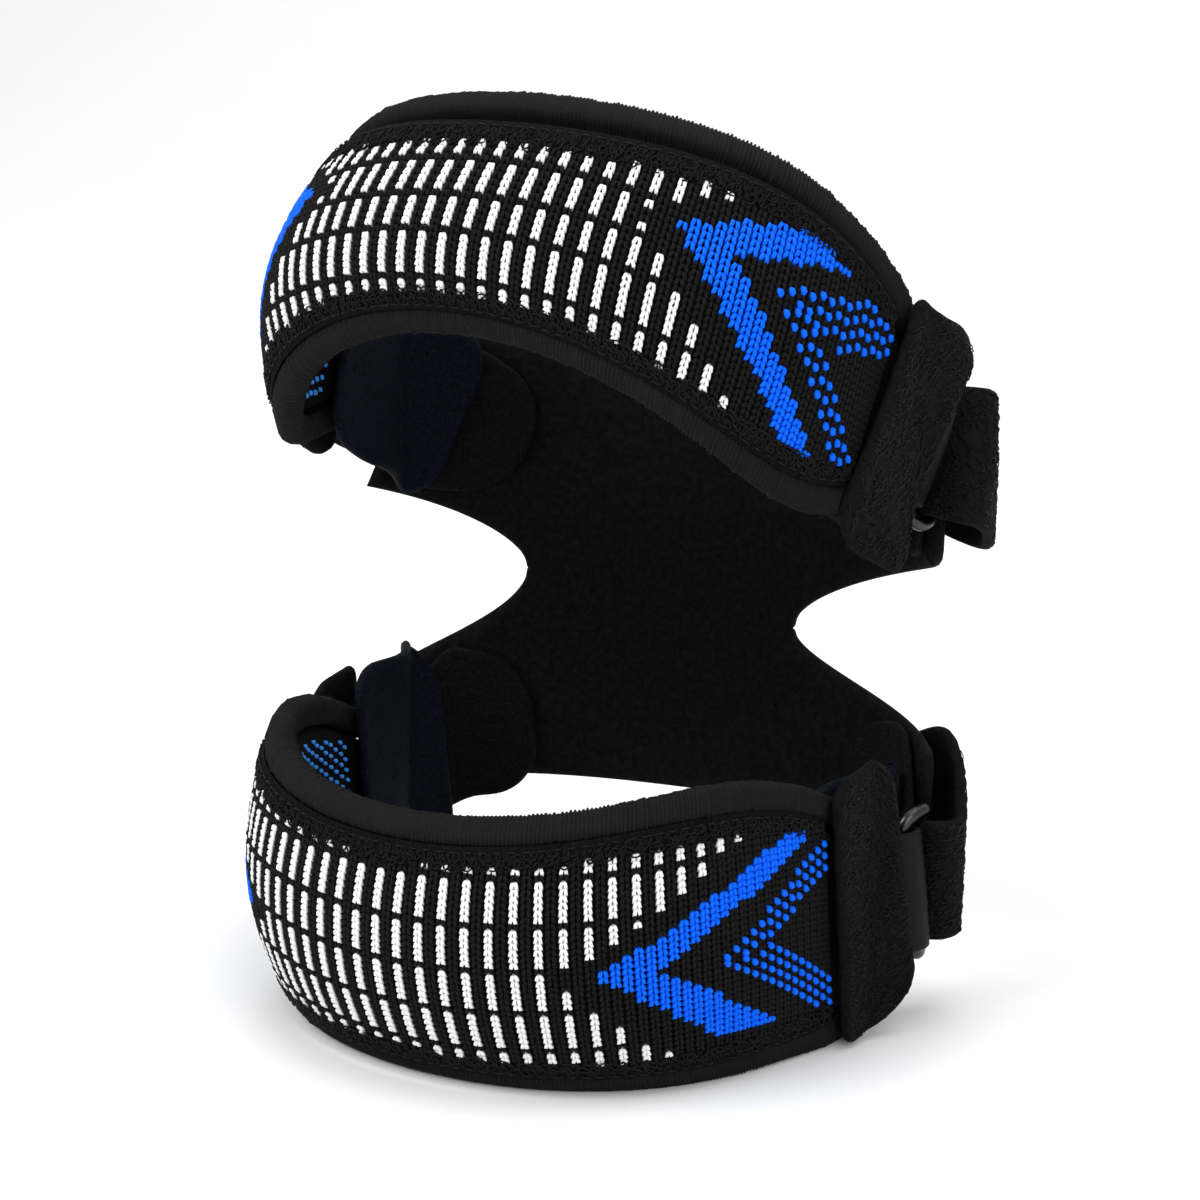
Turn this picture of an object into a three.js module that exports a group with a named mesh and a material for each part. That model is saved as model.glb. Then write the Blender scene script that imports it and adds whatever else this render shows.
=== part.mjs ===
// Dual patella strap: two padded knitted front bands, a soft back panel and four ring and strap fastenings.
// Millimetres. X runs to the right, the front faces -Y, Z is up, and the lower band stands on Z = 0.
import * as THREE from 'three';

// The two bands. Each is a bowed wall whose plan runs from one end, round the front, to the other end.
const LOWER = {
  name: 'lower',
  halfSpan: 53.5,
  reach: 62.5,
  endAngle: 68.6,
  squareness: 0.4,
  bulge: 9.2,
  lean: -0.13,
  flare: 0,
  frontHeight: 50.2,
  shoulderHeight: 54.6,
  endHeight: 46.4,
  frontMiddle: 23.3,
  shoulderMiddle: 25.8,
  endMiddle: 22.6,
};
const UPPER = {
  name: 'upper',
  halfSpan: 58.3,
  reach: 42.7,
  endAngle: 58,
  squareness: 0.49,
  bulge: 12.4,
  lean: 0.52,
  flare: 0.025,
  frontHeight: 39.4,
  shoulderHeight: 46.4,
  endHeight: 33.6,
  frontMiddle: 144.1,
  shoulderMiddle: 127.9,
  endMiddle: 113.9,
};
const SHOULDER_SHARE = 0.65;
const FLAT_FROM = 0.95;
const BAND_THICKNESS = 4.4;
const BINDING_HEIGHT = 5.6;
const BINDING_THICKNESS = 5;
const BAND_UNDER_TAB = 5;
const GAP = 0.3;
const RIM_GAP = 0.6;

// The back panel, a soft sheet bent round the calf side, with a notch cut in from each side.
const PANEL_HALF_WIDTH = 60.8;
const PANEL_DEPTH = 36.1;
const PANEL_CENTRE_Y = 7;
const PANEL_SQUARENESS = 0.75;
const PANEL_THICKNESS = 3;
const NOTCH_SPACING = 58;
const NOTCH_SHIFT = -9;
const NOTCH_LEVEL = 63.4;
const NOTCH_SLOPE = -0.085;
const NOTCH_ROUNDING = 0.55;
const PANEL_LOWEST = 29;
const PANEL_HIGHEST = 107;

// The fastenings, measured along the wrap from a band's end.
const WRAP = {
  lower: { tabHeight: 50, tabLift: 0.8, flapLift: 2.5, armLift: 9 },
  upper: { tabHeight: 46, tabLift: -2, flapLift: -2, armLift: -1 },
};
const SIDE_TURN = 74;
const CANT_END = 15;
const SEAT_GAP = 1;
const FLAP_SEAT_GAP = 1.3;
const WEBBING_START_GAP = 1.8;
const ARM_GAP = 0.45;
const TAB_START = -4;
const TAB_END = 16;
const TAB_THICKNESS = 2.5;
const TAB_FRONT_RADIUS = 3;
const TAB_REAR_RADIUS = 7;
const FLAP_START = -3;
const FLAP_END = 36;
const FLAP_HEIGHT = 41;
const FLAP_THICKNESS = 2.2;
const FLAP_FRONT_RADIUS = 5;
const FLAP_REAR_RADIUS = 9;
const RING_FRONT = 18.5;
const RING_REAR = 26;
const RING_HEIGHT = 29;
const RING_WIRE = 2.6;
const RING_CORNER = 2.6;
const RING_CLEARANCE = 0.35;
const WEBBING_RISE = 5.5;
const WEBBING_WIDTH = 22.5;
const WEBBING_THICKNESS = 1.5;
const STRAP_WIDTH_AT_RING = 23;
const STRAP_WIDTH_AT_END = 34;
const STRAP_THICKNESS = 2.2;
const STRAP_OUTER_END = 50;
const STRAP_INNER_END = 56;
const ARM_END = 29;
const ARM_WIDTH = 36;

const BAND_STATIONS = 32;
const WIRE_SIDES = 8;
const PANEL_ROWS = 3;
// The six corners of a ribbon's section, as [rise, face] from -1 to 1.
const RIBBON_SECTION = [[-1, 1], [0, 1], [1, 1], [1, -1], [0, -1], [-1, -1]];
const SIDES = [
  { name: 'left', sign: -1 },
  { name: 'right', sign: 1 },
];

const MATERIALS = {
  knit: { color: 0x121316, roughness: 0.9 },
  binding: { color: 0x0d0e10, roughness: 0.85 },
  tab: { color: 0x0c0c0d, roughness: 1 },
  flap: { color: 0x0a0e1c, roughness: 1 },
  webbing: { color: 0x0e0e10, roughness: 0.7 },
  ring: { color: 0x1c1c1e, roughness: 0.3, metalness: 0.9 },
  strap: { color: 0x0b0b0c, roughness: 0.95 },
  panel: { color: 0x0a0a0b, roughness: 0.95 },
};

function material(kind) {
  return new THREE.MeshStandardMaterial(MATERIALS[kind]);
}

// A value that passes smoothly through its front, shoulder and end sizes.
function blend(front, shoulder, end, share) {
  const t = share * share;
  const m = SHOULDER_SHARE * SHOULDER_SHARE;
  const atShoulder = (t * (1 - t)) / (m * (1 - m));
  const atEnd = (t * (t - m)) / (1 - m);
  const atFront = ((t - m) * (t - 1)) / m;
  return front * atFront + shoulder * atShoulder + end * atEnd;
}

// A point on a band's outer face: share runs -1 to 1 from end to end, rise runs -1 to 1 from rim to rim.
function bandPoint(band, share, rise) {
  const endAngle = THREE.MathUtils.degToRad(band.endAngle);
  const angle = share * endAngle;
  const depth = band.reach / (1 - Math.cos(endAngle));
  const across = Math.sin(angle) / Math.sin(endAngle);
  const square = 1 + band.squareness * (1 - across * across);
  const half = blend(band.frontHeight, band.shoulderHeight, band.endHeight, share) / 2;
  const middle = blend(band.frontMiddle, band.shoulderMiddle, band.endMiddle, share);
  const fade = Math.max(1 - (share / FLAT_FROM) ** 4, 0);
  const shrink = 1 - (band.bulge / depth) * rise * rise * fade + band.flare * share * share * rise;
  const centreY = depth * Math.cos(endAngle);
  return new THREE.Vector3(
    band.halfSpan * across * square * shrink,
    centreY + band.lean * half * rise - depth * Math.cos(angle) * shrink,
    middle + half * rise,
  );
}

function bandNormal(band, share, rise) {
  const step = 0.01;
  const along = bandPoint(band, share + step, rise).sub(bandPoint(band, share - step, rise));
  const up = bandPoint(band, share, rise + step).sub(bandPoint(band, share, rise - step));
  return along.cross(up).normalize();
}

function bandHalfHeight(band, share) {
  const low = bandPoint(band, share, -1);
  const high = bandPoint(band, share, 1);
  return low.distanceTo(high) / 2;
}

// The share at which a band's wall really ends, under the tab.
function bandEndShare(band) {
  const step = 0.01;
  const speed = bandPoint(band, 1, 0).distanceTo(bandPoint(band, 1 - step, 0)) / step;
  return 1 + BAND_UNDER_TAB / speed;
}

function geometryFrom(points, faces) {
  const geometry = new THREE.BufferGeometry();
  const positions = new Float32Array(points.flatMap((p) => [p.x, p.y, p.z]));
  const index = faces.flat();
  let volume = 0;
  for (const [a, b, c] of faces) {
    volume += points[a].dot(new THREE.Vector3().crossVectors(points[b], points[c]));
  }
  if (volume < 0) {
    index.reverse();
  }
  geometry.setAttribute('position', new THREE.BufferAttribute(positions, 3));
  geometry.setIndex(index);
  return geometry;
}

// A closed body through a row of sections, each a ring of points; a closed row joins its last to its first.
function loft(sections, closed = false) {
  const size = sections[0].length;
  const points = sections.flat();
  const faces = [];
  const rows = closed ? sections.length : sections.length - 1;
  for (let row = 0; row < rows; row += 1) {
    const here = row * size;
    const next = ((row + 1) % sections.length) * size;
    for (let i = 0; i < size; i += 1) {
      const j = (i + 1) % size;
      faces.push([here + i, here + j, next + j], [here + i, next + j, next + i]);
    }
  }
  if (!closed) {
    const last = (sections.length - 1) * size;
    const triangles = capTriangles(size);
    for (const [a, b, c] of triangles) {
      faces.push([a, c, b], [last + a, last + b, last + c]);
    }
  }
  return geometryFrom(points, faces);
}

// A cap in strips, which suits the long flat sections: point i faces point size - 1 - i.
function capTriangles(size) {
  const triangles = [];
  for (let i = 0; i < size / 2 - 1; i += 1) {
    const far = size - 1 - i;
    triangles.push([i, i + 1, far], [i + 1, far - 1, far]);
  }
  return triangles;
}

function add(group, name, geometry, kind) {
  const mesh = new THREE.Mesh(geometry, material(kind));
  mesh.name = name;
  group.add(mesh);
}

// The padded knit between the two bindings, rounded towards its rims.
function knit(band) {
  const rises = [-1, -0.8, -0.45, 0, 0.45, 0.8, 1];
  const reachShare = bandEndShare(band);
  const sections = [];
  for (let i = 0; i <= BAND_STATIONS; i += 1) {
    const share = (-1 + (2 * i) / BAND_STATIONS) * reachShare;
    const inset = 1 - (BINDING_HEIGHT + RIM_GAP) / bandHalfHeight(band, share);
    const outer = rises.map((rise) => bandPoint(band, share, rise * inset));
    const inner = rises.map((rise, k) => {
      const normal = bandNormal(band, share, rise * inset);
      return outer[k].clone().addScaledVector(normal, -BAND_THICKNESS);
    });
    sections.push([...outer, ...inner.reverse()]);
  }
  return loft(sections);
}

// The elastic strip that wraps one rim: a rounded section that is flattened where it stands on the floor.
function binding(band, rim) {
  const corners = 10;
  const reachShare = bandEndShare(band);
  const sections = [];
  for (let i = 0; i <= BAND_STATIONS; i += 1) {
    const share = (-1 + (2 * i) / BAND_STATIONS) * reachShare;
    const rise = rim * (1 - BINDING_HEIGHT / 2 / bandHalfHeight(band, share));
    const normal = bandNormal(band, share, rise);
    const edge = bandPoint(band, share, rim);
    const up = edge.clone().sub(bandPoint(band, share, rise)).normalize();
    const centre = edge.addScaledVector(up, -BINDING_HEIGHT / 2).addScaledVector(normal, -BAND_THICKNESS / 2);
    const section = [];
    for (let k = 0; k < corners; k += 1) {
      const angle = ((k + 0.5) / corners) * 2 * Math.PI;
      const across = squared(Math.cos(angle)) * (BINDING_THICKNESS / 2);
      const along = squared(Math.sin(angle)) * (BINDING_HEIGHT / 2);
      const point = centre.clone().addScaledVector(normal, across).addScaledVector(up, along);
      point.z = Math.max(point.z, 0);
      section.push(point);
    }
    sections.push(section);
  }
  return loft(sections);
}

function squared(value) {
  return Math.sign(value) * Math.abs(value) ** 0.7;
}

// The plan of the back panel: turn runs -90 to 90 degrees from the left side, round the back, to the right.
function panelPlan(turn) {
  const angle = THREE.MathUtils.degToRad(turn);
  const across = Math.sign(turn) * Math.abs(Math.sin(angle)) ** PANEL_SQUARENESS;
  const back = Math.max(Math.cos(angle), 0) ** PANEL_SQUARENESS;
  return new THREE.Vector2(PANEL_HALF_WIDTH * across, PANEL_CENTRE_Y + PANEL_DEPTH * back);
}

// The plan line from a band's end, along the side of the leg and round the back, with its length at each place.
function wrapPlan(band) {
  const places = [];
  const steps = 20;
  const placeOnBand = (share) => {
    const point = bandPoint(band, share, 0).addScaledVector(bandNormal(band, share, 0), -BAND_THICKNESS / 2);
    places.push(new THREE.Vector2(point.x, point.y));
  };
  for (let i = 0; i <= steps; i += 1) {
    placeOnBand(THREE.MathUtils.lerp(SHOULDER_SHARE, 1, i / steps));
  }
  placeOnBand(bandEndShare(band));
  const end = places[places.length - 1];
  const side = panelPlan(SIDE_TURN);
  const lead = end.distanceTo(side) / 3;
  const leaving = end.clone().sub(places[places.length - 2]).setLength(lead);
  const arriving = panelPlan(SIDE_TURN - 1).sub(side).setLength(lead);
  const bridge = new THREE.CubicBezierCurve(end, end.clone().add(leaving), side.clone().sub(arriving), side);
  places.push(...bridge.getPoints(12).slice(1));
  for (let turn = SIDE_TURN - 1; turn >= 0; turn -= 1) {
    places.push(panelPlan(turn));
  }
  const lengths = [0];
  for (let i = 1; i < places.length; i += 1) {
    lengths.push(lengths[i - 1] + places[i].distanceTo(places[i - 1]));
  }
  return { places, lengths, start: lengths[steps], total: lengths[lengths.length - 1] };
}

// The place on the wrap's curved surface: along it from the band's end, up from its middle line, and outward.
function wrapSurface(band) {
  const plan = wrapPlan(band);
  const tilt = Math.atan(band.lean);
  const cant = (band.flare * band.halfSpan * Math.cos(tilt)) / (band.endHeight / 2);
  const surface = (along, rise, out, sign) => {
    const arc = plan.start + along * Math.cos(tilt) + rise * Math.sin(tilt);
    const level = band.endMiddle - along * Math.sin(tilt) + rise * Math.cos(tilt);
    let i = 1;
    while (i < plan.places.length - 1 && plan.lengths[i] < arc) {
      i += 1;
    }
    const share = (arc - plan.lengths[i - 1]) / (plan.lengths[i] - plan.lengths[i - 1]);
    const heading = plan.places[i].clone().sub(plan.places[i - 1]).normalize();
    const fade = 1 - THREE.MathUtils.smoothstep(along, 0, CANT_END);
    const outward = out + cant * rise * fade;
    const x = THREE.MathUtils.lerp(plan.places[i - 1].x, plan.places[i].x, share) + heading.y * outward;
    const y = THREE.MathUtils.lerp(plan.places[i - 1].y, plan.places[i].y, share) - heading.x * outward;
    return new THREE.Vector3(sign * x, y, Math.max(level, 0));
  };
  return { surface, plan, tilt };
}

// A ribbon through stations { at, out, width, lift }, laid on the wrap's surface.
function ribbon(surface, stations, thickness, sign) {
  const sections = stations.map((station, i) => {
    const before = stations[Math.max(i - 1, 0)];
    const after = stations[Math.min(i + 1, stations.length - 1)];
    const slope = new THREE.Vector2(after.at - before.at, after.out - before.out).normalize();
    return RIBBON_SECTION.map(([rise, face]) => surface(
      station.at - (slope.y * face * thickness) / 2,
      (station.lift ?? 0) + (rise * station.width) / 2,
      station.out + (slope.x * face * thickness) / 2,
      sign,
    ));
  });
  return loft(sections);
}

// The width of a flat piece with rounded corners, at a place between its start and its end.
function roundedWidth(width, from, to, at, startRadius, endRadius) {
  const nearStart = Math.min((at - from) / startRadius, 1);
  const nearEnd = Math.min((to - at) / endRadius, 1);
  const lostAtStart = startRadius * (1 - Math.sqrt(1 - (1 - nearStart) ** 2));
  const lostAtEnd = endRadius * (1 - Math.sqrt(1 - (1 - nearEnd) ** 2));
  return width - 2 * lostAtStart - 2 * lostAtEnd;
}

function flatStations({ from, to, width, startRadius, endRadius, out, lift = 0 }) {
  const count = 14;
  const stations = [];
  for (let i = 0; i <= count; i += 1) {
    const share = (1 - Math.cos((i / count) * Math.PI)) / 2;
    const at = THREE.MathUtils.lerp(from, to, share);
    stations.push({ at, out: out(at), lift, width: roundedWidth(width, from, to, at, startRadius, endRadius) });
  }
  return stations;
}

// A middle line that goes out along one side, round a bar at the given place, and back along the other side.
function loopStations({ bar, radius, outerEnd, innerEnd, direction, legOut, width, lift = () => 0 }) {
  const stations = [];
  const legs = 6;
  for (let i = 0; i < legs; i += 1) {
    const at = THREE.MathUtils.lerp(outerEnd, bar, i / legs);
    stations.push({ at, out: legOut(at), width: width(at), lift: lift(at) });
  }
  const turns = 8;
  for (let i = 0; i <= turns; i += 1) {
    const angle = (i / turns) * Math.PI;
    const at = bar - direction * radius * Math.sin(angle);
    stations.push({ at, out: radius * Math.cos(angle), width: width(bar), lift: 0 });
  }
  for (let i = 1; i <= legs; i += 1) {
    const at = THREE.MathUtils.lerp(bar, innerEnd, i / legs);
    stations.push({ at, out: -legOut(at), width: width(at), lift: lift(at) });
  }
  return stations;
}

// The wire ring, a rounded rectangle that follows the wrap's surface.
function ringGeometry(surface, sign) {
  const middle = (RING_FRONT + RING_REAR) / 2;
  const halfLong = (RING_HEIGHT - RING_WIRE) / 2;
  const halfWide = (RING_REAR - RING_FRONT) / 2;
  const perCorner = 4;
  const sections = [];
  const addSection = (along, rise, angle) => {
    const section = [];
    for (let k = 0; k < WIRE_SIDES; k += 1) {
      const around = (k / WIRE_SIDES) * 2 * Math.PI;
      const away = (Math.cos(around) * RING_WIRE) / 2;
      section.push(surface(
        middle + along + away * Math.cos(angle),
        rise + away * Math.sin(angle),
        (Math.sin(around) * RING_WIRE) / 2,
        sign,
      ));
    }
    sections.push(section);
  };
  for (const [cornerAlong, cornerRise, startAngle] of [[1, 1, 0], [-1, 1, 90], [-1, -1, 180], [1, -1, 270]]) {
    for (let i = 0; i <= perCorner; i += 1) {
      const angle = THREE.MathUtils.degToRad(startAngle + (90 * i) / perCorner);
      const along = cornerAlong * (halfWide - RING_CORNER) + RING_CORNER * Math.cos(angle);
      const rise = cornerRise * (halfLong - RING_CORNER) + RING_CORNER * Math.sin(angle);
      addSection(along, rise, angle);
    }
    if (cornerAlong !== cornerRise) {
      addSection(cornerAlong * halfWide, 0, cornerAlong > 0 ? 0 : Math.PI);
    }
  }
  return loft(sections, true);
}

function fastening(group, band, side) {
  const { surface } = wrapSurface(band);
  const sizes = WRAP[band.name];
  const label = `${band.name}_${side.name}`;
  const bandHalf = Math.max(BAND_THICKNESS, BINDING_THICKNESS) / 2;
  const tabOut = bandHalf + SEAT_GAP + TAB_THICKNESS / 2;
  add(group, `${label}_outer_tab`, ribbon(surface, flatStations({
    from: TAB_START,
    to: TAB_END,
    width: sizes.tabHeight,
    startRadius: TAB_FRONT_RADIUS,
    endRadius: TAB_REAR_RADIUS,
    out: () => tabOut,
    lift: sizes.tabLift,
  }), TAB_THICKNESS, side.sign), 'tab');

  const barRadius = RING_WIRE / 2 + RING_CLEARANCE;
  const loopRadius = barRadius + WEBBING_THICKNESS / 2;
  const legNear = GAP + WEBBING_THICKNESS / 2;
  const { lerp, smoothstep } = THREE.MathUtils;
  add(group, `${label}_ring_webbing`, ribbon(surface, loopStations({
    bar: RING_FRONT,
    radius: loopRadius,
    outerEnd: BAND_UNDER_TAB + WEBBING_START_GAP,
    innerEnd: BAND_UNDER_TAB + WEBBING_START_GAP,
    direction: -1,
    legOut: (at) => lerp(legNear, loopRadius, smoothstep(at, RING_FRONT - WEBBING_RISE, RING_FRONT)),
    width: () => WEBBING_WIDTH,
  }), WEBBING_THICKNESS, side.sign), 'webbing');

  add(group, `${label}_ring`, ringGeometry(surface, side.sign), 'ring');

  const strapRadius = Math.max(PANEL_THICKNESS / 2 + ARM_GAP, barRadius) + STRAP_THICKNESS / 2;
  const opening = (at) => smoothstep(at, RING_REAR, STRAP_OUTER_END);
  add(group, `${label}_strap`, ribbon(surface, loopStations({
    bar: RING_REAR,
    radius: strapRadius,
    outerEnd: STRAP_OUTER_END,
    innerEnd: STRAP_INNER_END,
    direction: 1,
    legOut: () => strapRadius,
    width: (at) => lerp(STRAP_WIDTH_AT_RING, STRAP_WIDTH_AT_END, opening(at)),
    lift: (at) => sizes.armLift * opening(at),
  }), STRAP_THICKNESS, side.sign), 'strap');

  const flapNear = bandHalf + FLAP_SEAT_GAP + FLAP_THICKNESS / 2;
  const flapFar = strapRadius + STRAP_THICKNESS / 2 + SEAT_GAP + FLAP_THICKNESS / 2;
  add(group, `${label}_inner_flap`, ribbon(surface, flatStations({
    from: FLAP_START,
    to: FLAP_END,
    width: FLAP_HEIGHT,
    startRadius: FLAP_FRONT_RADIUS,
    endRadius: FLAP_REAR_RADIUS,
    out: (at) => -lerp(flapNear, flapFar, smoothstep(at, BAND_UNDER_TAB, RING_FRONT)),
    lift: sizes.flapLift,
  }), FLAP_THICKNESS, side.sign), 'flap');
}

// The level of the panel's notches at a place across it, which slopes gently from one side to the other.
function notchLevel(across) {
  return NOTCH_LEVEL + NOTCH_SLOPE * across;
}

// The panel's outer edges arch in towards its middle.
function panelEdge(middleLevel, endLevel, share) {
  return THREE.MathUtils.lerp(middleLevel, endLevel, share * share);
}

function backPanel() {
  const lengths = [0];
  for (let turn = 1; turn <= SIDE_TURN; turn += 1) {
    lengths.push(lengths[turn - 1] + panelPlan(turn).distanceTo(panelPlan(turn - 1)));
  }
  // A point of the sheet by its length from the back's middle, to the right as positive.
  const sheetPoint = (across, level, out) => {
    const length = Math.min(Math.abs(across), lengths[SIDE_TURN]);
    let turn = 1;
    while (turn < SIDE_TURN && lengths[turn] < length) {
      turn += 1;
    }
    const share = (length - lengths[turn - 1]) / (lengths[turn] - lengths[turn - 1]);
    const near = panelPlan(turn - 1);
    const far = panelPlan(turn);
    const heading = far.clone().sub(near).normalize();
    const place = near.lerp(far, share);
    const x = place.x - heading.y * out;
    const y = place.y + heading.x * out;
    return new THREE.Vector3(Math.sign(across || 1) * x, y, level);
  };

  // Arm ends follow the tilt of the rings, so each corner of an end has its own length and level.
  const corner = (band, side, rise) => {
    const { plan, tilt } = wrapSurface(band);
    const arc = plan.start + ARM_END * Math.cos(tilt) + rise * Math.sin(tilt);
    return {
      across: side * (plan.total - arc),
      level: band.endMiddle - ARM_END * Math.sin(tilt) + rise * Math.cos(tilt),
    };
  };
  const halfArm = ARM_WIDTH / 2;
  const rows = PANEL_ROWS;
  const columns = [];
  const armColumns = 10;
  const bodyColumns = 8;
  for (const side of [-1, 1]) {
    const tip = NOTCH_SHIFT + (side * NOTCH_SPACING) / 2;
    const arms = [];
    for (let c = 0; c <= armColumns; c += 1) {
      const share = (c / armColumns) ** 1.5;
      const arm = (band, lift, outer) => {
        const outerCorner = corner(band, side, outer * halfArm + lift);
        const innerCorner = corner(band, side, -outer * halfArm + lift);
        const outerMiddle = outer > 0 ? PANEL_HIGHEST : PANEL_LOWEST;
        const outerAcross = THREE.MathUtils.lerp(tip, outerCorner.across, share);
        const outerLevel = panelEdge(outerMiddle, outerCorner.level, Math.abs(outerAcross / outerCorner.across));
        const innerAcross = THREE.MathUtils.lerp(tip, innerCorner.across, share);
        const opening = share ** NOTCH_ROUNDING;
        const innerLevel = THREE.MathUtils.lerp(notchLevel(tip), innerCorner.level, opening);
        return { outerAcross, outerLevel, innerAcross, innerLevel };
      };
      const low = arm(LOWER, WRAP.lower.armLift, -1);
      const high = arm(UPPER, WRAP.upper.armLift, 1);
      const column = [];
      for (let r = 0; r <= rows; r += 1) {
        const t = r / rows;
        column.push([
          THREE.MathUtils.lerp(low.outerAcross, low.innerAcross, t),
          THREE.MathUtils.lerp(low.outerLevel, low.innerLevel, t),
        ]);
      }
      for (let r = 0; r <= rows; r += 1) {
        const t = r / rows;
        column.push([
          THREE.MathUtils.lerp(high.innerAcross, high.outerAcross, t),
          THREE.MathUtils.lerp(high.innerLevel, high.outerLevel, t),
        ]);
      }
      arms.push({ column, split: c > 0 });
    }
    columns.push(side < 0 ? arms.reverse() : arms);
  }
  const [leftArms, rightArms] = columns;
  const leftTip = leftArms[leftArms.length - 1].column;
  const rightTip = rightArms[0].column;
  const body = [];
  for (let c = 1; c < bodyColumns; c += 1) {
    const share = c / bodyColumns;
    const column = leftTip.map(([across, level], i) => [
      THREE.MathUtils.lerp(across, rightTip[i][0], share),
      THREE.MathUtils.lerp(level, rightTip[i][1], share),
    ]);
    const arch = 1 - (2 * share - 1) ** 2;
    body.push({ column: column.map(([across, level]) => [across, level]), split: false, arch });
  }
  const all = [...leftArms, ...body, ...rightArms];
  return sheetGeometry(all, rows, sheetPoint);
}

// A thick sheet from columns of [across, level]; a split column is open between its two halves.
function sheetGeometry(columns, rows, sheetPoint) {
  const points = [];
  const faces = [];
  const half = PANEL_THICKNESS / 2;
  const index = columns.map(({ column, split }) => {
    const front = [];
    const back = [];
    column.forEach(([across, level], i) => {
      if (i === rows + 1 && !split) {
        front.push(front[rows]);
        back.push(back[rows]);
        return;
      }
      front.push(points.push(sheetPoint(across, level, -half)) - 1);
      back.push(points.push(sheetPoint(across, level, half)) - 1);
    });
    return { front, back, split };
  });
  const quad = (a, b, c, d) => faces.push([a, b, c], [a, c, d]);
  const top = 2 * rows + 1;
  for (let c = 0; c < index.length - 1; c += 1) {
    const here = index[c];
    const next = index[c + 1];
    for (let r = 0; r < top; r += 1) {
      if (r !== rows) {
        quad(here.front[r], next.front[r], next.front[r + 1], here.front[r + 1]);
        quad(here.back[r], here.back[r + 1], next.back[r + 1], next.back[r]);
      }
    }
    quad(here.front[0], here.back[0], next.back[0], next.front[0]);
    quad(here.front[top], next.front[top], next.back[top], here.back[top]);
    if (here.split || next.split) {
      quad(here.front[rows], next.front[rows], next.back[rows], here.back[rows]);
      quad(here.front[rows + 1], here.back[rows + 1], next.back[rows + 1], next.front[rows + 1]);
    }
  }
  const first = index[0];
  const last = index[index.length - 1];
  for (let r = 0; r < top; r += 1) {
    if (r !== rows) {
      quad(first.front[r], first.front[r + 1], first.back[r + 1], first.back[r]);
      quad(last.front[r], last.back[r], last.back[r + 1], last.front[r + 1]);
    }
  }
  return geometryFrom(points, faces);
}

const strap = new THREE.Group();
for (const band of [LOWER, UPPER]) {
  add(strap, `${band.name}_knit`, knit(band), 'knit');
  add(strap, `${band.name}_top_binding`, binding(band, 1), 'binding');
  add(strap, `${band.name}_bottom_binding`, binding(band, -1), 'binding');
  for (const side of SIDES) {
    fastening(strap, band, side);
  }
}

add(strap, 'back_panel', backPanel(), 'panel');

// The origin is the middle of the footprint, on the floor.
const box = new THREE.Box3().setFromObject(strap);
const middle = box.getCenter(new THREE.Vector3());
strap.position.set(-middle.x, -middle.y, -box.min.z);
const object = new THREE.Group();
object.add(strap);

export default object;
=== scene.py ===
import math

import bmesh
import bpy
import numpy as np
from mathutils import Matrix, Vector


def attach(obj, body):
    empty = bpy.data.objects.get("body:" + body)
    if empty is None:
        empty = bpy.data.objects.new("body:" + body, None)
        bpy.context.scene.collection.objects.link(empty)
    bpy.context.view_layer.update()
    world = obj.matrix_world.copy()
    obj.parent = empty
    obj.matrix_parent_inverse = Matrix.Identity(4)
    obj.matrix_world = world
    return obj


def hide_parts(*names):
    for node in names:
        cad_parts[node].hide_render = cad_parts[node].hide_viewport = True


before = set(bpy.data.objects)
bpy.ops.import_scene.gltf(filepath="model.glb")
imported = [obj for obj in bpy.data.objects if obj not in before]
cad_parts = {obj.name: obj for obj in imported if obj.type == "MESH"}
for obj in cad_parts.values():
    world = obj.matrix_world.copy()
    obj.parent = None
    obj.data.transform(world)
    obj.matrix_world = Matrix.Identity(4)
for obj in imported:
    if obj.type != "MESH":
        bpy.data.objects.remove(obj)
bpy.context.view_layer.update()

# Sizes are in millimetres until a mesh is made. X is to the right, the front is -Y and Z is up.
MM = 0.001
FRAME_SHIFT = np.array([0.0, 8.93, 0.0])
LOWER = dict(
    name="lower", half_span=53.5, reach=62.5, end_angle=68.6, squareness=0.4, bulge=9.2,
    lean=-0.13, flare=0.0, heights=(50.2, 54.6, 46.4), middles=(23.3, 25.8, 22.6),
    tab_lift=0.8, tab_top=(26.5, 6, 7), tab_bottom=(23, 3, 11),
    flap_lift=2.5, flap_end=36, flap_top=(23.5, 7, 12), flap_bottom=(20.5, 5, 9), flap_slant=6.5,
    arm_lift=9, arm_inner=12.5, puff=3.2, strap_cut=(11, 17),
)
UPPER = dict(
    name="upper", half_span=58.3, reach=42.7, end_angle=58.0, squareness=0.49, bulge=12.4,
    lean=0.52, flare=0.025, heights=(39.4, 46.4, 33.6), middles=(144.1, 127.9, 113.9),
    tab_lift=-2, tab_top=(20.5, 3, 8), tab_bottom=(23, 9, 3),
    flap_lift=-2, flap_end=41, flap_top=(20.5, 5, 9), flap_bottom=(16.5, 8, 12), flap_slant=0,
    arm_lift=-1, arm_inner=18, puff=6.0, strap_cut=(16, 9),
)
SHOULDER_SHARE = 0.65
FLAT_FROM = 0.95
BAND_THICKNESS = 4.4
BAND_UNDER_TAB = 5
BINDING_HEIGHT = 5.6
BINDING_THICKNESS = 5.0
PANEL_HALF_WIDTH = 60.8
PANEL_DEPTH = 36.1
PANEL_CENTRE_Y = 7
PANEL_SQUARENESS = 0.75
PANEL_THICKNESS = 3
SIDE_TURN = 74
CANT_END = 15
NOTCH_SPACING = 58
NOTCH_SHIFT = -9
NOTCH_LEVEL = 63.4
NOTCH_SLOPE = -0.085
NOTCH_ROUNDING = 0.55
PANEL_LOWEST = 29
PANEL_HIGHEST = 107
TAB_START, TAB_END, TAB_THICKNESS = -4, 16, 2.5
FLAP_START, FLAP_THICKNESS = -3, 2.2
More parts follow.
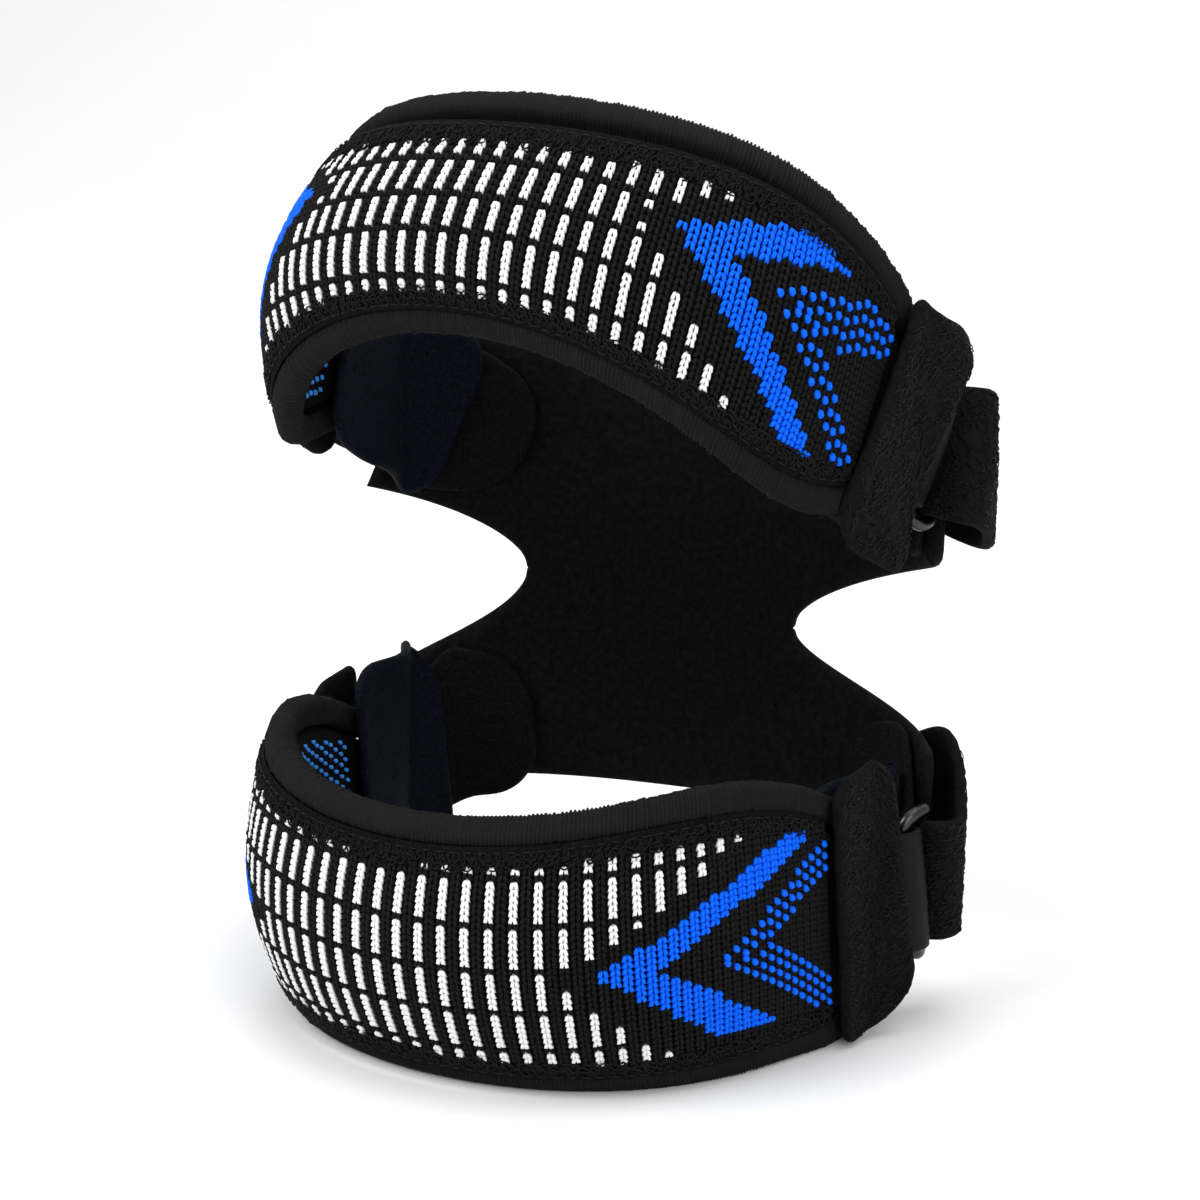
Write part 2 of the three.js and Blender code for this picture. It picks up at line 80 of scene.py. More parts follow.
RIGHT_FLAP_TOP = (18.5, 6, 12)
UPPER_LEFT_TAB_BOTTOM = (17, 7, 7)
SEAT_GAP = 1
FLAP_SEAT_GAP = 1.3
RING_FRONT, RING_REAR, RING_HEIGHT, RING_WIRE = 18.5, 26, 29, 2.6
RING_CORNER = 2.6
RING_CLEARANCE = 0.35
WEBBING_START, WEBBING_RISE, WEBBING_WIDTH, WEBBING_THICKNESS = 6.8, 5.5, 22.5, 1.5
LEG_GAP = 0.3
ARM_GAP = 0.45
ARM_END = 29
ARM_WIDTH = 36
STRAP_AT_RING, STRAP_AT_END, STRAP_THICKNESS = 23, 34, 2.2
STRAP_OUTER_END, STRAP_INNER_END, STRAP_FULL_AT = 50, 56, 42

# The knit.
WALE = 2.07
COURSE = 1.1
SEAM_WIDTH = 3.2
DASH_EVERY = 2
INNER_DOTS_FROM = 56
MOST_COURSES = 22

# How finely the pieces are cut, how many curls of pile they carry, and how close points are welded, in mm.
PAD_ROWS, PAD_COLUMNS = 181, 25
SLAB_ROWS, SLAB_COLUMNS = 31, 41
TAB_CURLS, LEG_CURLS, STRAP_CURLS, FLAP_CURLS = 1000, 1000, 150, 200
INSIDE_CURLS, OUTSIDE_CURLS = 1500, 900
LEG_RUN = 34
STRAP_MEAN_WIDTH = 28
CURLS_CLEAR_OF_EDGE = 4.8
PANEL_ROUNDING = 2.6
WELD, PAD_WELD, PANEL_WELD = 0.0005, 0.001, 0.002

chance = np.random.default_rng(7)


def unit(v):
    return v / np.maximum(np.linalg.norm(v, axis=-1, keepdims=True), 1e-9)


def smoothstep(x, low, high):
    t = np.clip((np.asarray(x, float) - low) / (high - low), 0, 1)
    return t * t * (3 - 2 * t)


def blend(sizes, share):
    front, shoulder, end = sizes
    t = np.asarray(share, float) ** 2
    m = SHOULDER_SHARE ** 2
    at_front = (t - m) * (t - 1) / m
    at_shoulder = t * (1 - t) / (m * (1 - m))
    at_end = t * (t - m) / (1 - m)
    return front * at_front + shoulder * at_shoulder + end * at_end


def band_point(band, share, rise):
    """A point on a band's outer face, rise from -1 to 1."""
    share, rise = np.broadcast_arrays(np.asarray(share, float), np.asarray(rise, float))
    end = math.radians(band["end_angle"])
    angle = share * end
    depth = band["reach"] / (1 - math.cos(end))
    across = np.sin(angle) / math.sin(end)
    square = 1 + band["squareness"] * (1 - across ** 2)
    half = blend(band["heights"], share) / 2
    fade = np.maximum(1 - (share / FLAT_FROM) ** 4, 0)
    shrink = 1 - band["bulge"] / depth * rise ** 2 * fade + band["flare"] * share ** 2 * rise
    x = band["half_span"] * across * square * shrink
    y = depth * math.cos(end) + band["lean"] * half * rise - depth * np.cos(angle) * shrink
    z = blend(band["middles"], share) + half * rise
    return np.stack([x, y, z], -1)


def band_normal(band, share, rise):
    step = 0.01
    share, rise = np.broadcast_arrays(np.asarray(share, float), np.asarray(rise, float))
    along = band_point(band, share + step, rise) - band_point(band, share - step, rise)
    up = band_point(band, share, rise + step) - band_point(band, share, rise - step)
    return unit(np.cross(along, up))


def end_share(band):
    speed = np.linalg.norm(band_point(band, 1, 0) - band_point(band, 0.99, 0)) / 0.01
    return 1 + BAND_UNDER_TAB / speed


class Band:
    """A band's face by its length from the front, its height from the middle line, and outward, in mm."""

    def __init__(self, sizes):
        self.sizes = sizes
        self.shares = np.linspace(-1.1, 1.1, 881)
        line = band_point(sizes, self.shares, 0)
        steps = np.linalg.norm(np.diff(line, axis=0), axis=1)
        lengths = np.concatenate([[0], np.cumsum(steps)])
        self.lengths = lengths - lengths[len(lengths) // 2]
        self.end_share = end_share(sizes)
        self.end = float(np.interp(self.end_share, self.shares, self.lengths))
        self.tab_at = float(np.interp(1, self.shares, self.lengths)) + TAB_START

    def share(self, length):
        return np.interp(length, self.lengths, self.shares)

    def half(self, length):
        return blend(self.sizes["heights"], self.share(length)) / 2

    def face(self, length, level, out=0.0):
        length, level, out = np.broadcast_arrays(
            np.asarray(length, float), np.asarray(level, float), np.asarray(out, float))
        share = self.share(length)
        rise = level / self.half(length)
        normal = band_normal(self.sizes, share, rise)
        return band_point(self.sizes, share, rise) + normal * out[..., None]

    def normal(self, length, level):
        return band_normal(self.sizes, self.share(length), level / self.half(length))


def panel_plan(turn):
    angle = np.radians(np.asarray(turn, float))
    across = np.sign(turn) * np.abs(np.sin(angle)) ** PANEL_SQUARENESS
    back = np.maximum(np.cos(angle), 0) ** PANEL_SQUARENESS
    return np.stack([PANEL_HALF_WIDTH * across, PANEL_CENTRE_Y + PANEL_DEPTH * back], -1)


class Wrap:
    """The curved surface that the fastenings of a band follow."""

    def __init__(self, sizes):
        self.sizes = sizes
        shares = np.append(np.linspace(SHOULDER_SHARE, 1, 21), end_share(sizes))
        places = band_point(sizes, shares, 0) - band_normal(sizes, shares, 0) * BAND_THICKNESS / 2
        places = places[:, :2]
        end = places[-1]
        side = panel_plan(SIDE_TURN)
        lead = np.linalg.norm(side - end) / 3
        leaving = unit(end - places[-2]) * lead
        arriving = unit(panel_plan(SIDE_TURN - 1) - side) * lead
        t = np.linspace(0, 1, 13)[1:, None]
        c1, c2 = end + leaving, side - arriving
        bridge = end * (1 - t) ** 3 + 3 * c1 * t * (1 - t) ** 2 + 3 * c2 * t * t * (1 - t) + side * t ** 3
        rest = panel_plan(np.arange(SIDE_TURN - 1, -1, -1))
        self.places = np.concatenate([places, bridge, rest])
        steps = np.linalg.norm(np.diff(self.places, axis=0), axis=1)
        self.lengths = np.concatenate([[0], np.cumsum(steps)])
        self.start = self.lengths[20]
        self.total = self.lengths[-1]
        self.tilt = math.atan(sizes["lean"])
        half = sizes["heights"][2] / 2
        self.cant = sizes["flare"] * sizes["half_span"] * math.cos(self.tilt) / half
        self.heading = unit(np.diff(self.places, axis=0))
        self.heading_at = (self.lengths[1:] + self.lengths[:-1]) / 2

    def point(self, along, rise, out, sign):
        along, rise, out = np.broadcast_arrays(
            np.asarray(along, float), np.asarray(rise, float), np.asarray(out, float))
        arc = self.start + along * math.cos(self.tilt) + rise * math.sin(self.tilt)
        level = self.sizes["middles"][2] - along * math.sin(self.tilt) + rise * math.cos(self.tilt)
        hx = np.interp(arc, self.heading_at, self.heading[:, 0])
        hy = np.interp(arc, self.heading_at, self.heading[:, 1])
        outward = out + self.cant * rise * (1 - smoothstep(along, 0, CANT_END))
        x = np.interp(arc, self.lengths, self.places[:, 0]) + hy * outward
        y = np.interp(arc, self.lengths, self.places[:, 1]) - hx * outward
        return np.stack([sign * x, y, np.maximum(level, 0)], -1)


class Shape:
    """Points and faces gathered for one piece."""

    def __init__(self):
        self.points = []
        self.faces = []
        self.count = 0

    def add(self, points, faces, material=0):
        points = np.asarray(points, float).reshape(-1, 3)
        self.points.append(points)
        self.faces.append((np.asarray(faces, int) + self.count, material))
        self.count += len(points)

    def grid(self, points, material=0, closed_rows=False, closed_columns=False):
        """A grid of points (rows, columns, 3) as quads."""
        rows, columns = points.shape[:2]
        index = np.arange(rows * columns).reshape(rows, columns)
        if closed_rows:
            index = np.concatenate([index, index[:1]])
        if closed_columns:
            index = np.concatenate([index, index[:, :1]], axis=1)
        quads = np.stack([index[:-1, :-1], index[:-1, 1:], index[1:, 1:], index[1:, :-1]], -1)
        self.add(points, quads.reshape(-1, 4), material)

    def tubes(self, paths, radii, sides, outward, material=0):
        """Closed strands along paths (n, m, 3), with outward (n, 3) as their upper side."""
        n, m = paths.shape[:2]
        tangent = unit(np.gradient(paths, axis=1))
        across = unit(np.cross(tangent, outward[:, None, :]))
        upper = np.cross(across, tangent)
        radii = np.broadcast_to(radii, (n, m))
        rings = []
        for k in range(sides):
            turn = 2 * math.pi * (k + 0.5) / sides
            offset = across * math.cos(turn) + upper * math.sin(turn)
            rings.append(paths + offset * radii[..., None])
        points = np.stack(rings, 2)
        base = np.arange(n)[:, None, None] * m * sides
        ring = np.arange(m - 1)[None, :, None] * sides
        here = np.arange(sides)[None, None, :]
        after = (here + 1) % sides
        a = base + ring + here
        b = base + ring + after
        quads = np.stack([a, a + sides, b + sides, b], -1).reshape(-1, 4)
        first = base[:, 0] + here[0]
        last = first + (m - 1) * sides
        start = self.count
        self.add(points, quads, material)
        self.faces.append((first + start, material))
        self.faces.append((last[:, ::-1] + start, material))

    def object(self, name, materials, weld=0.0):
        points = (np.concatenate(self.points) + FRAME_SHIFT) * MM
        mesh = bpy.data.meshes.new(name)
        mesh.vertices.add(len(points))
        mesh.vertices.foreach_set("co", points.ravel())
        sizes = np.concatenate([np.full(len(f), f.shape[1]) for f, _ in self.faces])
        kinds = np.concatenate([np.full(len(f), k) for f, k in self.faces])
        corners = np.concatenate([f.ravel() for f, _ in self.faces])
        mesh.loops.add(len(corners))
        mesh.loops.foreach_set("vertex_index", corners)
        mesh.polygons.add(len(sizes))
        starts = np.concatenate([[0], np.cumsum(sizes)[:-1]])
        mesh.polygons.foreach_set("loop_start", starts)
        mesh.polygons.foreach_set("material_index", kinds)
        mesh.polygons.foreach_set("use_smooth", np.ones(len(sizes), bool))
        mesh.update(calc_edges=True)
        for material in materials:
            mesh.materials.append(material)
        if weld:
            work = bmesh.new()
            work.from_mesh(mesh)
            bmesh.ops.remove_doubles(work, verts=work.verts, dist=weld * MM)
            bmesh.ops.recalc_face_normals(work, faces=work.faces)
            work.to_mesh(mesh)
            work.free()
        piece = bpy.data.objects.new(name, mesh)
        bpy.context.scene.collection.objects.link(piece)
        return piece


def dress(piece, slot, *nodes):
    """The piece rides on the part and stands for these CAD nodes, which are hidden; slot is not used."""
    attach(piece, "root")
    if nodes:
        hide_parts(*nodes)


# Materials. Each is a plain shader whose bump and slight shade come from noise in the piece's own space.
CLOTH_SHINE = 0.09
SHADE_FROM, SHADE_TO = 0.35, 0.68


def fabric(name, colour, roughness, grain, bump, mottle=0.25, lighter=None):
    """Grain is the size of the noise and bump its height, in mm."""
    material = bpy.data.materials.new(name)
    material.use_nodes = True
    nodes = material.node_tree.nodes
    links = material.node_tree.links
    shader = nodes["Principled BSDF"]
    shader.inputs["Roughness"].default_value = roughness
    shader.inputs["Specular IOR Level"].default_value = CLOTH_SHINE
    place = nodes.new("ShaderNodeTexCoord")
    noise = nodes.new("ShaderNodeTexNoise")
    noise.inputs["Scale"].default_value = 1 / (grain * MM)
    noise.inputs["Detail"].default_value = 4
    links.new(place.outputs["Object"], noise.inputs["Vector"])
    ramp = nodes.new("ShaderNodeValToRGB")
    dark = [c * (1 - mottle) for c in colour]
    light = lighter or [min(c * (1 + mottle) + 0.002, 1) for c in colour]
    ramp.color_ramp.elements[0].color = (*dark, 1)
    ramp.color_ramp.elements[1].color = (*light, 1)
    ramp.color_ramp.elements[0].position = SHADE_FROM
    ramp.color_ramp.elements[1].position = SHADE_TO
    links.new(noise.outputs["Fac"], ramp.inputs["Fac"])
    links.new(ramp.outputs["Color"], shader.inputs["Base Color"])
    relief = nodes.new("ShaderNodeBump")
    relief.inputs["Strength"].default_value = 1
    relief.inputs["Distance"].default_value = bump * MM
    links.new(noise.outputs["Fac"], relief.inputs["Height"])
    links.new(relief.outputs["Normal"], shader.inputs["Normal"])
    return material


BLACK_YARN = fabric("black_yarn", (0.0052, 0.0052, 0.0058), 0.8, 0.35, 0.12)
WHITE_YARN = fabric("white_yarn", (0.80, 0.81, 0.82), 0.8, 0.35, 0.08, mottle=0.06)
BLUE_YARN = fabric("blue_yarn", (0.0, 0.125, 0.90), 0.7, 0.35, 0.08, mottle=0.10)
PALE_YARN = fabric("pale_blue_yarn", (0.05, 0.30, 0.90), 0.7, 0.35, 0.08, mottle=0.15)
GROUND = fabric("knit_ground", (0.0018, 0.0018, 0.002), 0.95, 0.6, 0.25, mottle=0.4)
RIBBING = fabric("ribbed_elastic", (0.0062, 0.0062, 0.0068), 0.75, 0.3, 0.06)
SEAM_YARN = fabric("seam_yarn", (0.0068, 0.0068, 0.0073), 0.7, 0.3, 0.06)
PILE_GROUND = fabric("pile_ground", (0.0026, 0.0026, 0.0028), 0.9, 0.8, 0.4)
PILE_YARN = fabric("pile_yarn", (0.0070, 0.0070, 0.0074), 0.5, 0.5, 0.05)
NAVY = fabric("navy_knit", (0.0012, 0.0018, 0.0048), 0.8, 0.5, 0.35, mottle=0.5,
              lighter=(0.003, 0.0065, 0.018))
TAPE = fabric("webbing_tape", (0.0055, 0.0055, 0.006), 0.55, 0.3, 0.06)
FELT = fabric("panel_felt", (0.0030, 0.0030, 0.0033), 0.9, 1.2, 0.35, mottle=0.35)
FELT_YARN = fabric("panel_yarn", (0.0044, 0.0044, 0.0048), 0.7, 0.5, 0.05)


def plated():
    material = fabric("plated_wire", (0.05, 0.05, 0.053), 0.28, 3.0, 0.004, mottle=0.15)
    shader = material.node_tree.nodes["Principled BSDF"]
    shader.inputs["Metallic"].default_value = 1.0
    return material


WIRE = plated()


# The knit's chart. Levels are in mm from the middle line of the band, and lengths from the front.
CHARTS = {
    "lower": dict(
        gaps=(14, 7, 0, -7, -14),
        tip=(38.5, -0.7), stop=8.0,
        upper_slope=2.2, upper_inner=(49.1, -1.5, 1.98), upper_top=17.2,
        lower_slope=1.41, lower_inner=(49.1, -1.5, 1.64), lower_low=-16.6,
        dot_tip=(61.1, -2.7), dot_upper_slope=1.55, dot_lower_slope=1.9,
        dots_up=3, dots_down=4, dot_meet=-0.12, dot_high=15.8, dot_low=-15.0,
        dash_upper=2.0, dash_lower=1.1,
    ),
    "upper": dict(
        gaps=(8, 3, -2, -9, -15),
        tip=(38.5, 7.2), stop=7.0,
        upper_slope=2.7, upper_inner=(48.9, 6.5, 3.0), upper_top=14.9,
        lower_slope=1.3, lower_inner=(48.9, 6.5, 1.2), lower_low=-16.2,
        dot_tip=(57.6, 5.2), dot_upper_slope=3.2, dot_lower_slope=1.24,
        dots_up=4, dots_down=3, dot_meet=0.18, dot_high=12.6, dot_low=-13.4,
        dash_upper=2.2, dash_lower=1.1,
    ),
}
BLACK, WHITE, BLUE, DOT = 0, 1, 2, 3


def colour_of(chart, wale, course):
    """The yarn of each stitch, from its wale and course."""
    length = np.abs(wale * WALE)
    level = (course + 0.5) * COURSE
    tip_length, tip_level = chart["tip"]
    above = level - tip_level
    edge = tip_length + np.where(above > 0, chart["upper_slope"], -chart["lower_slope"]) * above
    corner_length, corner_level, corner_slope = chart["upper_inner"]
    upper_inner = corner_length + corner_slope * (level - corner_level)
    corner_length, corner_level, corner_slope = chart["lower_inner"]
    lower_inner = corner_length - corner_slope * (level - corner_level)
    inner = np.where(level > corner_level, upper_inner, lower_inner)
    solid = (length >= edge - 0.6) & (length <= inner)
    solid &= (level < chart["upper_top"]) & (level > chart["lower_low"])
    colour = np.where(solid, BLUE, BLACK)

    dot_length, dot_level = chart["dot_tip"]
    beyond = length - dot_length
    top_course = np.floor((dot_level + beyond / chart["dot_upper_slope"]) / COURSE)
    low_course = np.floor((dot_level - beyond / chart["dot_lower_slope"]) / COURSE)
    down = top_course - course
    up = course - low_course
    on_upper = (down >= 0) & (down < 2 * chart["dots_up"]) & (down % 2 == 0)
    on_lower = (up >= 0) & (up < 2 * chart["dots_down"]) & (up % 2 == 0)
    dotted = np.where(level > dot_level - beyond * chart["dot_meet"], on_upper, on_lower)
    dotted &= (beyond >= 0) & (level < chart["dot_high"]) & (level > chart["dot_low"])
    colour = np.where(dotted, DOT, colour)

    slope = np.where(above > 0, chart["dash_upper"], -chart["dash_lower"])
    limit = tip_length - chart["stop"] + slope * above
    dashed = ~np.isin(course, chart["gaps"]) & (wale % DASH_EVERY == 0) & (length < limit)
    return np.where(dashed, WHITE, colour)


def knit(band):
    """The padded knit: a dark ground with every stitch's two legs laid on it."""
    name = band.sizes["name"]
    ground = Shape()
    lengths = np.linspace(-band.end, band.end, PAD_ROWS)[:, None]
    rises = np.sin(np.linspace(-0.5, 0.5, PAD_COLUMNS) * math.pi)[None, :]
    limit = band.half(lengths) - BINDING_HEIGHT - 0.6
    levels = rises * limit
    edge = np.clip((1 - np.abs(rises)) * limit / 1.6, 0, 1)
    puff = np.sqrt(1 - (1 - edge) ** 2)
    middle = -BAND_THICKNESS / 2
    reach = BAND_THICKNESS / 2 - 0.45
    outer = band.face(lengths, levels, middle + reach * puff)
    inner = band.face(lengths, levels, middle - (BAND_THICKNESS / 2 - 0.1) * puff)
    around = np.concatenate([outer, inner[:, ::-1]], axis=1)
    ground.grid(around, closed_columns=True)
    for row in (0, -1):
        columns = outer.shape[1]
        cap = np.stack([outer[row], inner[row]], 1)
        index = np.arange(2 * columns).reshape(columns, 2)
        quads = np.stack([index[:-1, 0], index[:-1, 1], index[1:, 1], index[1:, 0]], -1)
        ground.add(cap, quads if row == 0 else quads[:, ::-1])
    pad = ground.object(name + "_knit_pad", [GROUND], weld=PAD_WELD)
    dress(pad, "knit", name + "_knit")

    chart = CHARTS[name]
    wales = np.arange(-int(band.tab_at / WALE), int(band.tab_at / WALE) + 1)
    courses = np.arange(-MOST_COURSES, MOST_COURSES + 1)
    wale, course = np.meshgrid(wales, courses)
    wale, course = wale.ravel(), course.ravel()
    length, level = wale * WALE, (course + 0.5) * COURSE
    limit = band.half(length) - BINDING_HEIGHT - SEAM_WIDTH + 0.7
    keep = np.abs(level) < limit
    wale, course, length, level = wale[keep], course[keep], length[keep], level[keep]
    colour = colour_of(chart, wale, course)

    yarn = Shape()
    rise_steps = np.array([-0.60, -0.2, 0.22, 0.62]) * COURSE
    side_steps = np.array([0.66, 0.56, 0.40, 0.16])
    slimmer = {BLACK: 1.0, WHITE: 0.78, BLUE: 1.0}
    out_steps = np.array([-0.50, -0.02, 0.06, -0.38])
    radii = np.array([0.30, 0.46, 0.45, 0.24])
    for kind in (BLACK, WHITE, BLUE):
        chosen = colour == kind
        if kind == BLACK:
            chosen |= colour == DOT
        for side in (-1, 1):
            jitter = chance.normal(0, 0.035, (chosen.sum(), 4, 3))
            path_length = length[chosen][:, None] + side * side_steps * slimmer[kind] + jitter[..., 0]
            path_level = level[chosen][:, None] + rise_steps + jitter[..., 1]
            stand = 0.05 if kind == BLACK else 0.14
            path = band.face(path_length, path_level, out_steps + stand - 0.1 + jitter[..., 2])
            outward = band.normal(length[chosen], level[chosen])
            yarn.tubes(path, radii * (0.5 + 0.5 * slimmer[kind]), 4, outward, kind)
    chosen = colour == DOT
    tilt = np.where(length[chosen] > 0, 1, -1)[:, None]
    beads = np.array([-0.55, -0.18, 0.18, 0.55])
    path = band.face(length[chosen][:, None] + 0.7 * tilt * beads, level[chosen][:, None] - 0.75 * beads,
                     np.array([-0.25, 0.3, 0.3, -0.25]))
    outward = band.normal(length[chosen], level[chosen])
    yarn.tubes(path, np.array([0.34, 0.58, 0.6, 0.4]), 6, outward, BLUE)
    stitches = yarn.object(name + "_knit_stitches", [BLACK_YARN, WHITE_YARN, BLUE_YARN])
    dress(stitches, "knit")

    beads = Shape()
    shown = (np.abs(length) > INNER_DOTS_FROM) & ((course + wale) % 2 == 0)
    centre = length[shown][:, None] + chance.normal(0, 0.08, (shown.sum(), 1))
    rise = level[shown][:, None] + chance.normal(0, 0.08, (shown.sum(), 1))
    steps = np.array([-0.42, -0.15, 0.15, 0.42])
    path = band.face(centre + steps, rise + 0.5 * steps, 0.1 - BAND_THICKNESS - np.array([0, 0.25, 0.25, 0]))
    outward = -band.normal(centre[:, 0], rise[:, 0])
    beads.tubes(path, np.array([0.22, 0.42, 0.42, 0.22]), 5, outward)
    dress(beads.object(name + "_inner_dots", [PALE_YARN]), "knit")


def squared(value):
    return np.sign(value) * np.abs(value) ** 0.7


def binding(band, rim):
    """The elastic strip round one rim, with ribs across it."""
    sizes = band.sizes
    name = "%s_%s_binding" % (sizes["name"], "top" if rim > 0 else "bottom")
    rib = 0.78
    per_rib = 3
    ribs = int(2 * band.end / rib)
    steps = ribs * per_rib + 1
    lengths = np.linspace(-band.end, band.end, steps)
    share = band.share(lengths)
    half = np.linalg.norm(band_point(sizes, share, 1) - band_point(sizes, share, -1), axis=-1) / 2
    rise = rim * (1 - BINDING_HEIGHT / 2 / half)
    normal = band_normal(sizes, share, rise)
    edge = band_point(sizes, share, rim)
    up = unit(edge - band_point(sizes, share, rise))
    centre = edge - up * BINDING_HEIGHT / 2 - normal * BAND_THICKNESS / 2
    sides = 12
    angle = (np.arange(sides) + 0.5) / sides * 2 * math.pi
    swell = np.abs(np.sin(np.arange(steps) / per_rib * math.pi)) ** 0.6
    jitter = np.repeat(chance.normal(1, 0.25, ribs + 1), per_rib)[:steps]
    size = 0.91 + (0.13 * swell * jitter)[:, None]
    across = squared(np.cos(angle)) * BINDING_THICKNESS / 2 * size
    along = squared(np.sin(angle)) * BINDING_HEIGHT / 2 * size
    points = centre[:, None] + normal[:, None] * across[..., None] + up[:, None] * along[..., None]
    points[..., 2] = np.maximum(points[..., 2], 0)
    strip = Shape()
    strip.grid(points, closed_columns=True)
    strip.add(points[0], np.arange(sides)[None, :])
    strip.add(points[-1], np.arange(sides)[None, ::-1])
    dress(strip.object(name, [RIBBING], weld=WELD), "binding", name)


def seam(band, rim):
    """The gathered seam next to a binding: a raised strip, loops of thread and a row of stitches."""
    sizes = band.sizes
    name = "%s_%s_seam" % (sizes["name"], "top" if rim > 0 else "bottom")
    work = Shape()
    inner_edge = BINDING_HEIGHT + SEAM_WIDTH
    lengths = np.arange(-band.tab_at, band.tab_at, 0.5)
    columns = np.linspace(0, 1, 7)
    depth = inner_edge + 0.15 - columns * (SEAM_WIDTH + 0.9)
    level = rim * (band.half(lengths)[:, None] - depth)
    ruffle = 0.16 * np.sin(lengths * 2 * math.pi / 1.5)[:, None] + chance.normal(0, 0.06, (len(lengths), 7))
    out = 0.55 * np.sin(columns * math.pi * 0.8)[None, :] + ruffle * np.sin(columns * math.pi) - 0.25
    points = band.face(lengths[:, None], level, out)
    work.grid(points[:, ::-1] if rim > 0 else points, 0)

    pitch = 1.25
    centres = np.arange(-band.tab_at + 1, band.tab_at - 1, pitch)
    turns = np.linspace(-0.55 * math.pi, 1.3 * math.pi, 9)
    for row in (0.3, 0.55, 0.78):
        n = len(centres)
        size = chance.uniform(0.35, 0.95, (n, 1))
        tilt = chance.normal(0, 1.0, (n, 1))
        a = centres[:, None] + row + size * np.cos(turns + tilt) + np.linspace(-0.5, 0.5, 9)
        a = a + chance.normal(0, 0.3, (n, 1))
        b = size * 0.8 * np.sin(turns + tilt) + chance.normal(0, 0.15, (n, 1))
        place = band.half(a) - BINDING_HEIGHT - SEAM_WIDTH * row
        lift = 0.42 + 0.1 * np.cos(turns * 1.3)
        path = band.face(a, rim * (place + b), lift)
        normal = band_normal(sizes, band.share(centres), rim * 0.7)
        work.tubes(path, 0.18, 3, normal, 1)

    pitch = 2.6
    starts = np.arange(-band.tab_at + 1, band.tab_at - 2, pitch)
    steps = np.array([0, 0.25, 0.75, 1.0]) * pitch * 0.72
    a = starts[:, None] + steps
    place = band.half(a) - BINDING_HEIGHT - 0.25
    path = band.face(a, rim * place, np.array([0.1, 0.62, 0.62, 0.1]))
    normal = band_normal(sizes, band.share(starts), rim * 0.75)
    work.tubes(path, 0.15, 4, normal, 2)
    dress(work.object(name, [GROUND, SEAM_YARN, PILE_YARN]), "binding")


def corner_cut(at, start, end, start_radius, end_radius):
    """What rounded corners take off a flat piece's edge, at a place between its start and its end."""
    near_start = np.clip((at - start) / start_radius, 0, 1)
    near_end = np.clip((end - at) / end_radius, 0, 1)
    lost_start = start_radius * (1 - np.sqrt(np.maximum(1 - (1 - near_start) ** 2, 0)))
    lost_end = end_radius * (1 - np.sqrt(np.maximum(1 - (1 - near_end) ** 2, 0)))
    return lost_start + lost_end


